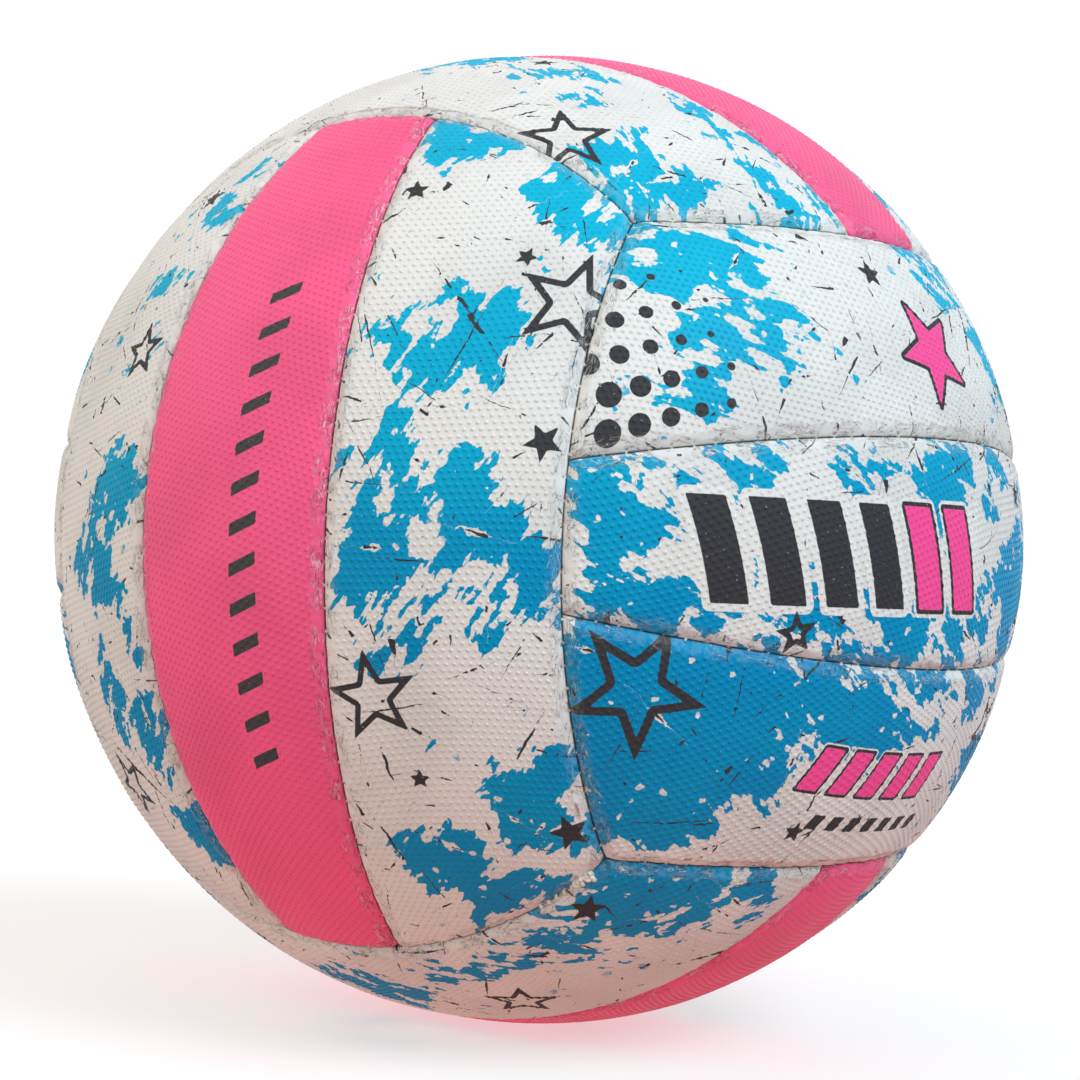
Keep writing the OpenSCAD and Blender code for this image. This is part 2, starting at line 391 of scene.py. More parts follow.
def own_print(name, face, place):
    """Lists of blue ovals and stars of a panel, seeded where none are listed."""
    if place == "middle" and face not in ("front", "back"):
        return [], []
    if name in BLUE:
        return BLUE[name], STARS[name]
    rng = np.random.default_rng(sum(map(ord, name)))
    ovals, stars = [], []
    for along in np.linspace(-84, 84, 8) + rng.uniform(-7, 7, 8):
        sizes = rng.uniform(5, 13, 2)
        ovals.append((rng.uniform(-17, 17), along, sizes[0], sizes[1], rng.uniform(-60, 60)))
    for along in np.linspace(-66, 66, 5) + rng.uniform(-8, 8, 5):
        large = rng.random() < 0.45
        radius = rng.uniform(8, 11) if large else rng.uniform(2.6, 4.6)
        stars.append((rng.uniform(-15, 15), along, radius, rng.uniform(0, 72), 1.25 if large else 0))
    return ovals, stars


def print_fields(name, face, place, points):
    """Depth in millimetres inside the blue, dark, pink and bare white parts of a panel's print."""
    fields = {key: np.full(len(points), -16.0) for key in ("blue", "dark", "pink", "bare")}

    def paint(key, depth):
        fields[key] = np.maximum(fields[key], depth)

    ovals, stars = own_print(name, face, place)
    for oval in ovals:
        paint("blue", blob(points, *oval))
    for mark in stars:
        paint("dark", star(points, *mark))
    if name == "front_middle":
        for number, along in enumerate(range(-72, 0, 13)):
            mark = bar(points, 1, along, 8.2, 21, 0.3)
            paint("bare", mark + 1.6)
            if number < 4:
                paint("dark", mark)
            else:
                paint("pink", mark)
                paint("dark", 0.45 - np.abs(mark + 0.4))
    if name == "front_upper":
        mark = star(points, 5, -7, 12, -30)
        paint("pink", mark)
        paint("dark", 0.5 - np.abs(mark + 0.5))
        # A patch of dots in five rows, smaller towards one corner
        for row in range(5):
            u = 12 - 7.3 * (4 - row)
            for number in range(6 - row // 3):
                radius = 2.75 - 0.42 * number - 0.16 * (4 - row)
                if radius > 0.4:
                    paint("dark", disc(points, u, -93 + 6.5 * number + 2 * (row % 2), radius))
    if name == "front_lower":
        for along in range(-36, 8, 9):
            mark = bar(points, 0, along, 5.6, 10, -0.35)
            paint("bare", mark + 1.0)
            paint("pink", mark)
            paint("dark", 0.35 - np.abs(mark + 0.3))
        for along in range(-30, 10, 6):
            paint("dark", bar(points, 12, along, 3.4, 3.6, -0.35))
    if name in ("left_middle", "right_middle"):
        for along in range(-48, 50, 8):
            paint("dark", bar(points, 6, along, 2.6, 6.5, 0.45))
    return fields


# Meshes

def face_corners(faces):
    """The corners of all the faces in one row, as vertex numbers, and how many each face has."""
    sizes = [np.full(len(f), f.shape[1]) for f in faces]
    return np.concatenate([f.ravel() for f in faces]), np.concatenate(sizes)


def add_object(name, data):
    thing = bpy.data.objects.new(name, data)
    bpy.context.scene.collection.objects.link(thing)
    return thing


def new_object(name, vertices, faces):
    mesh = bpy.data.meshes.new(name)
    corners, sizes = face_corners(faces)
    starts = np.concatenate([[0], np.cumsum(sizes)[:-1]])
    mesh.vertices.add(len(vertices))
    mesh.loops.add(len(corners))
    mesh.polygons.add(len(sizes))
    mesh.vertices.foreach_set("co", (vertices * MM).astype(np.float32).ravel())
    mesh.loops.foreach_set("vertex_index", corners.astype(np.int32))
    mesh.polygons.foreach_set("loop_start", starts.astype(np.int32))
    mesh.polygons.foreach_set("use_smooth", np.ones(len(sizes), bool))
    mesh.update(calc_edges=True)
    mesh.validate()
    return add_object(name, mesh)


def lattice_fill(border, strip, seams, steps, clear, hole):
    """Even grid inside a border line and round a hole, joined to them by triangles.

    Returns the grid's directions, its squares and the triangles, which count the border's points first, then
    the hole's, then the grid's."""
    flat, flat_hole = to_sheet(border, strip), to_sheet(hole, strip)
    low, high = np.floor(flat.min(0) / steps), np.ceil(flat.max(0) / steps)
    u, v = np.meshgrid(*(np.arange(a, b + 1) * step for a, b, step in zip(low, high, steps)))
    x = from_sheet(u, v, strip)
    inner = seam_distances(seams, x.reshape(-1, 3))[0].min(0).reshape(u.shape) > clear
    # A hole without points gets a radius below zero, so that nothing is kept clear of it
    hole_r = np.hypot(*flat_hole.T).max(initial=-steps[0])
    inner &= np.hypot(u, v) > hole_r + 0.7 * steps[0]
    first, last = slice(None, -1), slice(1, None)
    corners = [(first, first), (first, last), (last, last), (last, first)]
    squares = np.logical_and.reduce([inner[c] for c in corners])
    used = np.zeros(u.shape, bool)
    for c in corners:
        used[c] |= squares
    number = np.cumsum(used.ravel()).reshape(u.shape) - 1
    quads = np.stack([number[c] for c in corners], -1)[squares]
    padded = np.pad(squares, 1)
    flat_edges = padded[:-1, 1:-1] != padded[1:, 1:-1]
    steep_edges = padded[1:-1, :-1] != padded[1:-1, 1:]
    edges = np.concatenate([
        np.stack([number[:, :-1], number[:, 1:]], -1)[flat_edges],
        np.stack([number[:-1, :], number[1:, :]], -1)[steep_edges],
    ])
    lines, start = [], 0
    for loop in (flat, flat_hole):
        lines += [(start + k, start + (k + 1) % len(loop)) for k in range(len(loop))]
        start += len(loop)
    rim = np.unique(edges)
    lines += [(start + a, start + b) for a, b in np.searchsorted(rim, edges).tolist()]
    flat_rim = np.stack([u[used], v[used]], 1)[rim]
    coordinates = [Vector(p) for p in np.concatenate([flat, flat_hole, flat_rim]).tolist()]
    made, _, fans, origins, *_ = delaunay_2d_cdt(coordinates, lines, [], 1, 1e-6, True)
    origin = np.array([o[0] for o in origins])
    places = np.array([tuple(p) for p in made])
    triangles = np.array([f for f in fans if len(f) == 3])
    middle = places[triangles].mean(1)
    cell = np.clip(np.floor(middle / steps - low).astype(int), 0, np.array(squares.shape[::-1]) - 1)
    free = ~squares[cell[:, 1], cell[:, 0]]
    triangles = triangles[free & (np.hypot(*middle.T) >= hole_r * 0.999)]
    corner = places[triangles]
    first, second = corner[:, 1] - corner[:, 0], corner[:, 2] - corner[:, 0]
    back = first[:, 0] * second[:, 1] - first[:, 1] * second[:, 0] < 0
    triangles[back] = triangles[back][:, ::-1]
    triangles = origin[triangles]
    grid = triangles >= start
    triangles[grid] = rim[triangles[grid] - start] + start
    return x[used], quads, triangles


def hole_ring(radius):
    """Clockwise ring of directions about the outward direction of a face."""
    turns = -np.arange(MOUTH_SIDES) * 2 * np.pi / MOUTH_SIDES
    flat = np.stack([np.cos(turns), np.sin(turns)], 1) * radius / BALL_R
    return np.concatenate([flat, np.sqrt(1 - (flat ** 2).sum(1))[:, None]], 1)


def panel_mesh(name, axes, strip, seed, has_valve):
    """Closed mesh of a cover: back, turned-in hem, wall, rounded edge and pimpled surface."""
    seams = panel_seams(strip)
    counts = side_counts(seams, RING_STEP)
    radius = lambda x: surface_radius(seams, strip, seed, x)
    directions, radii, quads, triangles, quad_zones, triangle_zones = [], [], [], [], [], []

    def put(x, r):
        start = sum(map(len, directions))
        directions.append(x)
        radii.append(np.broadcast_to(r, len(x)).astype(float))
        return start

    def stack(lines, wall_rows):
        """Rows of squares from line to line. Returns the first and the last line and where each starts."""
        starts = [put(x, r) for x, r in lines]
        here = np.arange(len(lines[0][0]))
        onward = np.roll(here, -1)
        for k, (a, b) in enumerate(zip(starts, starts[1:])):
            quads.append(np.stack([a + here, a + onward, b + onward, b + here], 1))
            quad_zones.append(np.full(len(here), WALL if k < wall_rows else FRONT))
        return (lines[0][0], starts[0]), (lines[-1][0], starts[-1])

    def fill(zone, border, opening, steps, clear, r):
        """Surface inside a border, round the valve's opening where there is one."""
        (outer, outer_start), (inner, inner_start) = border, opening
        x, squares, joins = lattice_fill(outer, strip, seams, steps, clear, inner)
        start = put(x, r(x))
        outer_end, inner_end = len(outer), len(outer) + len(inner)
        shift = np.where(joins < inner_end, inner_start - outer_end, start - inner_end)
        joins = joins + np.where(joins < outer_end, outer_start, shift)
        order = -1 if zone == BACK else 1
        quads.append(start + squares[:, ::order])
        quad_zones.append(np.full(len(squares), zone))
        triangles.append(joins[:, ::order])
        triangle_zones.append(np.full(len(joins), zone))

    line = lambda inset: ring(seams, inset, counts)
    lines = [(line(HEM_IN), LINING_R), (line(HEM_IN), WALL_R), (line(HALF_GAP + BEVEL), WALL_R)]
    lines.append((line(HALF_GAP), WALL_R + BEVEL))
    lines += [(line(inset), radius(line(inset))) for inset in OUTER_RINGS]
    back_border, front_border = stack(lines, 4)
    back_opening = front_opening = (np.zeros((0, 3)), 0)
    if has_valve:
        mouth = [(hole_ring(STEM_HOLE_R), LINING_R)]
        mouth += [(hole_ring(r), radius(hole_ring(r)) - drop) for r, drop in VALVE_MOUTH]
        back_opening, front_opening = stack(mouth, 1)
    fill(BACK, back_border, back_opening, (BACK_STEP, BACK_STEP), HEM_IN + 1.5, lambda x: LINING_R)
    fill(FRONT, front_border, front_opening, (PITCH / 4, ROW / 3), OUTER_RINGS[-1] + 0.28, radius)

    x, r = np.concatenate(directions), np.concatenate(radii)
    faces = [np.concatenate(quads), np.concatenate(triangles)]
    cover = new_object(f"pimpled_cover_{name}", (x * r[:, None]) @ axes, faces)
    add_map(cover.data, to_sheet(x, strip), faces, np.concatenate(quad_zones + triangle_zones))
    return cover, x, r, seams


def add_map(mesh, flat, faces, zone):
    """Map of the sheet for the finish. The wall and the back have a narrow band of it each."""
    share = (flat / np.abs(flat).max(0) + 1) / 2
    corners, sizes = face_corners(faces)
    zones = np.repeat(zone, sizes)
    across, along = 0.01 + 0.98 * share[corners, 0], share[corners, 1]
    # Lowest place and height of the bands of the front, the wall and the back
    low = np.array([0.05, 0.028, 0.004])[zones]
    size = np.array([0.945, 0.014, 0.018])[zones]
    across = np.where(zones == WALL, 0.01 + 0.98 * along, across)
    height = np.where(zones == WALL, share[corners, 0], along)
    layer = mesh.uv_layers.new(name="OFBake")
    layer.data.foreach_set("uv", np.stack([across, low + size * height], 1).astype(np.float32).ravel())


def set_attribute(mesh, name, values):
    kind, field = ("FLOAT", "value") if values.ndim == 1 else ("FLOAT_VECTOR", "vector")
    attribute = mesh.attributes.new(name, kind, "POINT")
    attribute.data.foreach_set(field, values.astype(np.float32).ravel())


def tube(points, radius, sides=8, closed=False, plies=2, twist=0.0):
    """Vertices and faces of a cord along a line of points, with ridges where it has plies."""
    ahead = np.roll(points, -1, 0) - np.roll(points, 1, 0)
    if not closed:
        ahead[0], ahead[-1] = points[1] - points[0], points[-1] - points[-2]
    ahead /= np.linalg.norm(ahead, axis=1)[:, None]
    side = np.cross(ahead, [0.31, 0.52, 0.8])
    side /= np.linalg.norm(side, axis=1)[:, None]
    up = np.cross(ahead, side)
    turns = np.arange(sides) * 2 * np.pi / sides
    steps = np.linalg.norm(np.diff(points, axis=0), axis=1)
    travelled = np.concatenate([[0], np.cumsum(steps)])
    size = radius * (1 + 0.16 * np.cos(plies * turns[None] - twist * travelled[:, None])) if plies else radius
    size = np.broadcast_to(size, (len(points), sides))
    ringed = side[:, None] * np.cos(turns)[None, :, None] + up[:, None] * np.sin(turns)[None, :, None]
    vertices = (points[:, None] + ringed * size[..., None]).reshape(-1, 3)
    k = np.arange(len(points) if closed else len(points) - 1)[:, None] * sides
    m = np.arange(sides)[None]
    n = (m + 1) % sides
    onward = (k + sides) % (len(points) * sides)
    faces = np.stack([k + m, k + n, onward + n, onward + m], -1).reshape(-1, 4)
    if closed:
        return vertices, [faces]
    caps = []
    for start, flip in ((0, True), ((len(points) - 1) * sides, False)):
        cap = start + np.stack([np.zeros(sides - 2, int), np.arange(1, sides - 1), np.arange(2, sides)], 1)
        caps.append(cap[:, ::-1] if flip else cap)
    return vertices, [faces, np.concatenate(caps)]


def joined(parts):
    """One list of vertices and one of faces from several."""
    vertices, quads, triangles, start = [], [], [], 0
    for v, faces in parts:
        vertices.append(v)
        for f in faces:
            (quads if f.shape[1] == 4 else triangles).append(f + start)
        start += len(v)
    return np.concatenate(vertices), [np.concatenate(f) for f in (quads, triangles) if f]


def seam_point(s, along, across, r):
    """Points near a seam, from their positions along it, distances in and radii."""
    x = s.points(np.asarray(along) / (BALL_R * s.circle), s.height(np.asarray(across)))
    return x * np.asarray(r)[..., None]


# Materials

class Nodes:
    """Node tree of a material or of the world, built from plain calls."""

    def __init__(self, owner):
        self.owner = owner
        owner.use_nodes = True
        self.tree = owner.node_tree
        self.tree.nodes.clear()

    def add(self, kind, inputs=None, **settings):
        node = self.tree.nodes.new(f"ShaderNode{kind}")
        for key, value in settings.items():
            setattr(node, key, value)
        for key, value in (inputs or {}).items():
            if isinstance(value, bpy.types.NodeSocket):
                self.tree.links.new(value, node.inputs[key])
            else:
                node.inputs[key].default_value = value
        return node

    def math(self, operation, *values):
        return self.add("Math", dict(enumerate(values)), operation=operation).outputs[0]

    def times(self, first, second):
        return self.math("MULTIPLY", first, second)

    def minus(self, first, second):
        return self.math("SUBTRACT", first, second)

    def plus(self, total, value, amount):
        """A total with some amount of a value added to it."""
        return self.math("MULTIPLY_ADD", value, amount, total)

    def vector(self, operation, *values, scale=None):
        inputs = dict(enumerate(values)) if scale is None else {0: values[0], "Scale": scale}
        node = self.add("VectorMath", inputs, operation=operation)
        return node.outputs["Value" if operation in ("LENGTH", "DOT_PRODUCT") else "Vector"]

    def attribute(self, name, output="Fac"):
        return self.add("Attribute", attribute_name=name).outputs[output]

    def place(self):
        """Position on the object, in millimetres."""
        return self.vector("SCALE", self.add("TexCoord").outputs["Object"], scale=1 / MM)

    def noise(self, vector, size, detail, rough=0.5, bend=0.0, kind="2D", output="Fac"):
        inputs = {"Vector": vector, "Scale": 1 / size, "Detail": detail, "Roughness": rough}
        inputs["Distortion"] = bend
        return self.add("TexNoise", inputs, noise_dimensions=kind).outputs[output]

    def step(self, value, low, high):
        """Smooth rise from 0 to 1 between two values."""
        inputs = {"Value": value, "From Min": low, "From Max": high}
        return self.add("MapRange", inputs, interpolation_type="SMOOTHSTEP").outputs["Result"]

    def fade(self, value, low, high):
        """Smooth fall from 1 to 0 between two values."""
        return self.minus(1.0, self.step(value, low, high))

    def cut(self, depth, soft=0.08):
        """From 0 outside to 1 inside of a shape, with a soft edge, from the depth in it."""
        return self.step(depth, -soft, soft)

    def mix(self, share, first, second):
        """Mixed colour. The node's sockets go by number: several have the same name."""
        return self.add("Mix", {0: share, 6: first, 7: second}, data_type="RGBA").outputs[2]

    def tinted(self, colour, mask, amount, tint):
        return self.mix(self.times(mask, amount), colour, tint)

    def turned_along(self, vector, angle, stretch):
        """Coordinates turned in the sheet and drawn out along their first axis."""
        inputs = {"Vector": vector, "Rotation": (0, 0, angle), "Scale": (stretch, 1, 1)}
        return self.add("Mapping", inputs, vector_type="TEXTURE").outputs["Vector"]

    def warped(self, vector, size, amount):
        """Coordinates of the sheet, shifted about by noise."""
        noise = self.noise(vector, size, 3, output="Color")
        shift = self.vector("SUBTRACT", noise, (0.5, 0.5, 0.5))
        return self.vector("ADD", vector, self.vector("SCALE", shift, scale=amount))

    def veins(self, noise, thin, wide):
        """Thin winding lines, where a noise is close to its middle."""
        return self.fade(self.math("ABSOLUTE", self.minus(noise, 0.5)), thin, wide)

    def scatter(self, vector, size):
        """Random cells of the sheet: offset from the nearest middle in millimetres, and random numbers."""
        inputs = {"Vector": vector, "Scale": 1 / size}
        node = self.add("TexVoronoi", inputs, voronoi_dimensions="2D")
        offset = self.vector("SUBTRACT", vector, node.outputs["Position"])
        parts = self.add("SeparateColor", {"Color": node.outputs["Color"]}).outputs
        return offset, [parts[k] for k in range(3)]

    def some(self, depth, chance, share):
        """Depth in the marks of some of the cells only."""
        left_out = self.math("GREATER_THAN", chance, share)
        return self.minus(depth, self.times(left_out, FAR_OUT))

    def dots(self, vector, size, small, large, share):
        """Depth inside round spots of random size in some of the cells."""
        offset, chance = self.scatter(vector, size)
        radius = self.plus(small, chance[0], large - small)
        depth = self.minus(radius, self.vector("LENGTH", offset))
        return self.some(depth, chance[1], share)

    def strokes(self, vector, size, short, long, width, share, both=False):
        """Depth inside straight strokes in some of the cells. They thin out to one end, or to both."""
        offset, chance = self.scatter(vector, size)
        inputs = {"Vector": offset, "Angle": self.times(chance[0], FULL_TURN)}
        node = self.add("VectorRotate", inputs, rotation_type="Z_AXIS")
        x, y, _ = self.add("SeparateXYZ", {"Vector": node.outputs[0]}).outputs
        half = self.plus(short, chance[1], long - short)
        ahead = self.math("DIVIDE", self.math("ADD", x, half), self.times(half, 2.0))
        left = self.minus(1.0, ahead)
        if both:
            taper = self.times(self.step(ahead, 0, 0.6), self.step(left, 0, 0.5))
        else:
            thinning = self.math("SQRT", self.math("MAXIMUM", left, 0.0))
            taper = self.times(thinning, self.step(ahead, 0, 0.04))
        depth = self.minus(self.times(taper, width), self.math("ABSOLUTE", y))
        return self.some(depth, chance[2], share)

    def finish(self, colour, roughness, height=None, distance=0.1, strength=1.0, **values):
        """Ends a material: its shader, with bump where a height is given."""
        inputs = {"Base Color": colour, "Roughness": roughness, **values}
        if height is not None:
            bump = {"Height": height, "Distance": distance * MM, "Strength": strength}
            inputs["Normal"] = self.add("Bump", bump).outputs["Normal"]
        shader = self.add("BsdfPrincipled", inputs)
        self.add("OutputMaterial", {"Surface": shader.outputs[0]})
        return self.owner


def new_material(name):
    return Nodes(bpy.data.materials.new(name))


FULL_TURN = 6.283
# A depth that no mark has, to leave one out
FAR_OUT = 99.0

WHITE = (0.80, 0.79, 0.775, 1)
PINK = (1.0, 0.11, 0.29, 1)
PINK_INK = (0.98, 0.09, 0.34, 1)
BLUE_INK = (0.0005, 0.475, 0.71, 1)
# Blue darkened with painted shade on the lower half of the ball, and in random uneven patches
DEEP_BLUE_TONE_AND_SHADE = (0.0005, 0.265, 0.545, 1)
DARK_INK = (0.046, 0.046, 0.053, 1)
BACKING = (0.72, 0.70, 0.66, 1)
# Dirt mixed with painted shade, for the seams, the stitch holes and the cracks
DIRT_AND_PAINTED_SHADE = (0.045, 0.042, 0.04, 1)
# Paler tint of the crinkle lines: a painted highlight
PAINTED_CRINKLE_HIGHLIGHT = (0.84, 0.80, 0.76, 1)


# Blue paint: how far torn and brushed noise move its edge in millimetres, and the level that they leave
TORN, BRUSHED, TORN_LEVEL = 44.0, 21.0, 22.6
# Height over the ball's centre, in millimetres, between which the painted shade on the blue goes from full to
# none
SHADE_FULL_BELOW, SHADE_GONE_ABOVE = -30, 55

# Scratches as (shift, cell, shortest and longest half length, half width, share of cells, thin at both ends)
SCRATCHES = [
    ((0, 0, 0), 13, 0.9, 3.6, 0.34, 0.42, False), ((31, 17, 0), 24, 4.0, 10.0, 0.3, 0.5, True),
    ((95, 40, 0), 58, 14.0, 22.0, 0.62, 0.6, True), ((5, 71, 0), 7, 0.4, 1.5, 0.24, 0.3, False),
    ((57, 23, 0), 19, 0.9, 2.4, 0.75, 0.3, False), ((12, 88, 0), 33, 6.0, 14.0, 0.22, 0.7, True),
    ((71, 9, 0), 27, 3.0, 12.0, 0.17, 0.7, True), ((44, 63, 0), 17, 2.0, 6.0, 0.16, 0.6, False),
    ((83, 27, 0), 9, 0.5, 1.8, 0.3, 0.4, True),
]


def blue_paint(f, colour, sheet, loose, broad):
    """Listed ovals with torn, brushed edges, splashes of white in them and drops of blue round them."""
    torn = f.noise(sheet, 13, 4, 0.6, 0.15)
    brushed = f.noise(f.turned_along(f.warped(sheet, 20, 5.0), 1.0, 5), 2.3, 3, 0.5)
    depth = f.plus(f.minus(f.attribute("blue"), TORN_LEVEL), torn, TORN)
    depth = f.plus(f.minus(depth, BRUSHED / 2), brushed, BRUSHED)
    fleck = f.cut(f.dots(loose, 4.6, 0.05, 0.85, 0.3), 0.07)
    splash = f.cut(f.strokes(loose, 13, 1.2, 5.5, 0.8, 0.42, True), 0.07)
    whole = f.minus(1.0, f.math("MAXIMUM", fleck, splash))
    blue = f.times(f.cut(depth, 0.35), whole)
    drops = f.cut(f.dots(f.vector("ADD", loose, (7.3, 3.1, 0)), 6.5, 0.05, 1.2, 0.2), 0.07)
    blue = f.math("MAXIMUM", blue, f.times(drops, f.step(depth, -12.0, -3.0)))
    # It is uneven at random, and darker on the lower half of the ball with painted shade
    height = f.add("SeparateXYZ", {"Vector": f.place()}).outputs[2]
    tone_and_shade = f.times(f.fade(height, SHADE_FULL_BELOW, SHADE_GONE_ABOVE), 0.8)
    tone_and_shade = f.plus(tone_and_shade, f.step(broad, 0.3, 0.75), 0.25)
    return f.mix(blue, colour, f.mix(tone_and_shade, BLUE_INK, DEEP_BLUE_TONE_AND_SHADE))


def scratched(f, colour, sheet, loose, wobble, bare):
    """Dark scratches and flecks, everywhere but on bare white."""
    drawn = f.warped(sheet, 5, 1.1)
    marks = f.dots(f.vector("ADD", loose, (11, 43, 0)), 8, 0.02, 0.42, 0.3)
    for shift, *stroke in SCRATCHES:
        marks = f.math("MAXIMUM", marks, f.strokes(f.vector("ADD", drawn, shift), *stroke))
    gap = f.times(f.step(f.noise(sheet, 3.4, 3, 0.6), 0.52, 0.6), 0.45)
    ragged = f.plus(-0.25, wobble, 0.5)
    marks = f.minus(f.plus(marks, ragged, 0.45), gap)
    marks = f.minus(marks, f.times(bare, FAR_OUT))
    return f.mix(f.cut(marks, 0.06), colour, DARK_INK)


def cover_finish(name, pink_ground):
    """Semi-matt coated cover with its print, rubbed edges, painted highlights on its crinkles, and seams
    soiled and darkened with painted shade.
    """
    f = new_material(name)
    sheet = f.attribute("sheet", "Vector")
    edge = f.attribute("edge")
    wobble = f.noise(sheet, 0.9, 2, 0.6)
    fine = f.noise(sheet, 0.35, 3, 0.6)
    broad = f.noise(sheet, 26, 3, 0.5)
    ground = PINK if pink_ground else WHITE
    shaded = tuple(c * 0.9 for c in ground[:3]) + (1,)
    colour = f.mix(f.step(broad, 0.35, 0.7), ground, shaded)
    if not pink_ground:
        loose = f.warped(sheet, 2.2, 2.2)
        colour = blue_paint(f, colour, sheet, loose, broad)
        bare = f.cut(f.attribute("bare"))
        colour = f.mix(bare, colour, WHITE)
        colour = scratched(f, colour, sheet, loose, wobble, bare)
        colour = f.mix(f.cut(f.attribute("pink")), colour, PINK_INK)
    unworn = f.fade(f.noise(sheet, 1.1, 4, 0.7), 0.69, 0.77)
    colour = f.tinted(colour, f.cut(f.attribute("dark")), unworn, DARK_INK)
    # Rubbed, paler edges
    rub = f.step(f.noise(sheet, 1.4, 4, 0.65), 0.36, 0.64)
    rub = f.times(f.fade(edge, 1.6, 3.2), rub)
    colour = f.tinted(colour, rub, 0.12, (0.95, 0.40, 0.58, 1) if pink_ground else (0.70, 0.72, 0.73, 1))
    # Crinkles and cracks of the coating along the seams; the crinkles get a painted highlight, the cracks
    # painted shade
    inputs = {"X": f.attribute("along"), "Y": f.times(edge, 3.2)}
    beside = f.add("CombineXYZ", inputs).outputs[0]
    here = f.step(f.noise(sheet, 5.5, 2, 0.5), 0.38, 0.54)
    here = f.times(here, f.fade(edge, 1.8, 3.8))
    cracked = f.veins(f.noise(beside, 2.6, 3, 0.55, 0.4), 0.006, 0.022)
    cracked = f.times(cracked, here)
    beside = f.vector("ADD", beside, (9, 70, 0))
    crinkled = f.veins(f.noise(beside, 3.4, 2, 0.5, 0.8), 0.012, 0.035)
    crinkled = f.times(crinkled, here)
    # Painted highlight on the crinkles
    colour = f.tinted(colour, crinkled, 0.45, PAINTED_CRINKLE_HIGHLIGHT)
    # Dirt and painted shade in the cracks, down in the seams and in the stitch holes
    colour = f.tinted(colour, cracked, 0.62, DIRT_AND_PAINTED_SHADE)
    colour = f.tinted(colour, f.fade(edge, 0.06, 0.3), 0.55, DIRT_AND_PAINTED_SHADE)
    colour = f.tinted(colour, f.step(f.attribute("stitch"), 0.3, 0.9), 0.85, DIRT_AND_PAINTED_SHADE)
    colour = f.mix(f.attribute("inner"), colour, BACKING)
    roughness = f.plus(f.plus(0.36, fine, 0.16), rub, 0.12)
    # The bump sharpens the pimples and the cracks
    rows = f.attribute("rows", "Vector")
    turns = [f.vector("DOT_PRODUCT", rows, tuple(2 * np.pi * w for w in way)) for way in ROW_WAYS]
    first, second, third = (f.math("COSINE", turn) for turn in turns)
    waves = f.math("ADD", f.math("ADD", first, second), third)
    raised = f.times(f.step(waves, 0.5, 3.0), f.step(edge, 1.5, 3.2))
    grain = f.plus(f.times(fine, 0.08), wobble, 0.12)
    grain = f.plus(f.math("ADD", grain, raised), cracked, -0.55)
    grain = f.plus(grain, crinkled, 0.45)
    gloss = {"Specular IOR Level": 0.3 if pink_ground else 0.1}
    return f.finish(colour, roughness, grain, 0.15, **gloss)


def cloth_finish():
    """Plain woven cloth."""
    f = new_material("lining_cloth")
    place = f.place()
    yarns = []
    for lean in (0.785, -0.785):
        turned_place = f.add("Mapping", {"Vector": place, "Rotation": (0.3, 0.2, lean)}).outputs[0]
        inputs = {"Vector": turned_place, "Scale": 0.55, "Distortion": 0.6, "Detail": 1.0}
        yarns.append(f.add("TexWave", inputs).outputs["Fac"])
    weave = f.math("MAXIMUM", *yarns)
    slub = f.noise(place, 3.2, 4, 0.6, kind="3D")
    colour = f.mix(f.step(slub, 0.3, 0.7), (0.60, 0.56, 0.49, 1), (0.74, 0.71, 0.64, 1))
    colour = f.mix(f.times(weave, 0.3), (0.42, 0.39, 0.34, 1), colour)
    return f.finish(colour, f.plus(0.75, slub, 0.15), weave, 0.15)


def thread_finish(name, pale, dull):
    """Waxed twisted thread with fine plies."""
    f = new_material(name)
    place = f.place()
    fibres = f.noise(f.turned_along(place, 0.5, 5), 0.18, 3, 0.6, kind="3D")
    soil = f.noise(place, 2.4, 3, 0.6, kind="3D")
    colour = f.mix(f.step(soil, 0.35, 0.75), pale, dull)
    colour = f.tinted(colour, fibres, 0.35, (0.5, 0.46, 0.38, 1))
    return f.finish(colour, f.plus(0.5, fibres, 0.2), fibres, 0.08)


def rubber_finish(name, first, second, rough):
    """Moulded rubber with a faint bloom and small pits."""
    f = new_material(name)
    place = f.place()
    bloom = f.noise(place, 14, 5, 0.6, kind="3D")
    pits = f.noise(place, 0.5, 3, 0.55, kind="3D")
    colour = f.mix(f.step(bloom, 0.38, 0.68), first, second)
    roughness = f.plus(f.plus(rough, pits, 0.1), bloom, 0.2)
    return f.finish(colour, roughness, pits, 0.06, 0.8)


def dress(thing, material):
    thing.data.materials.clear()
    thing.data.materials.append(material)


# The pieces

white_finish = cover_finish("printed_cover", False)
pink_finish = cover_finish("pink_cover", True)
lining_material = cloth_finish()
thread_material = thread_finish("thread", (0.80, 0.76, 0.66, 1), (0.62, 0.56, 0.45, 1))
knot_material = thread_finish("knot_thread", (0.93, 0.92, 0.87, 1), (0.78, 0.75, 0.67, 1))
SLOTS = {s["node"]: s["material_slot"] for s in frame["record"]["subparts"]}

# Two colours and the roughness of the rubber pieces, which keep the CAD's shape
RUBBER = {
    "bladder": ((0.02, 0.02, 0.022, 1), (0.045, 0.045, 0.048, 1), 0.5),
    "valve_housing": ((0.70, 0.69, 0.66, 1), (0.60, 0.59, 0.55, 1), 0.45),
    "valve_core": ((0.025, 0.025, 0.028, 1), (0.05, 0.05, 0.055, 1), 0.35),
}


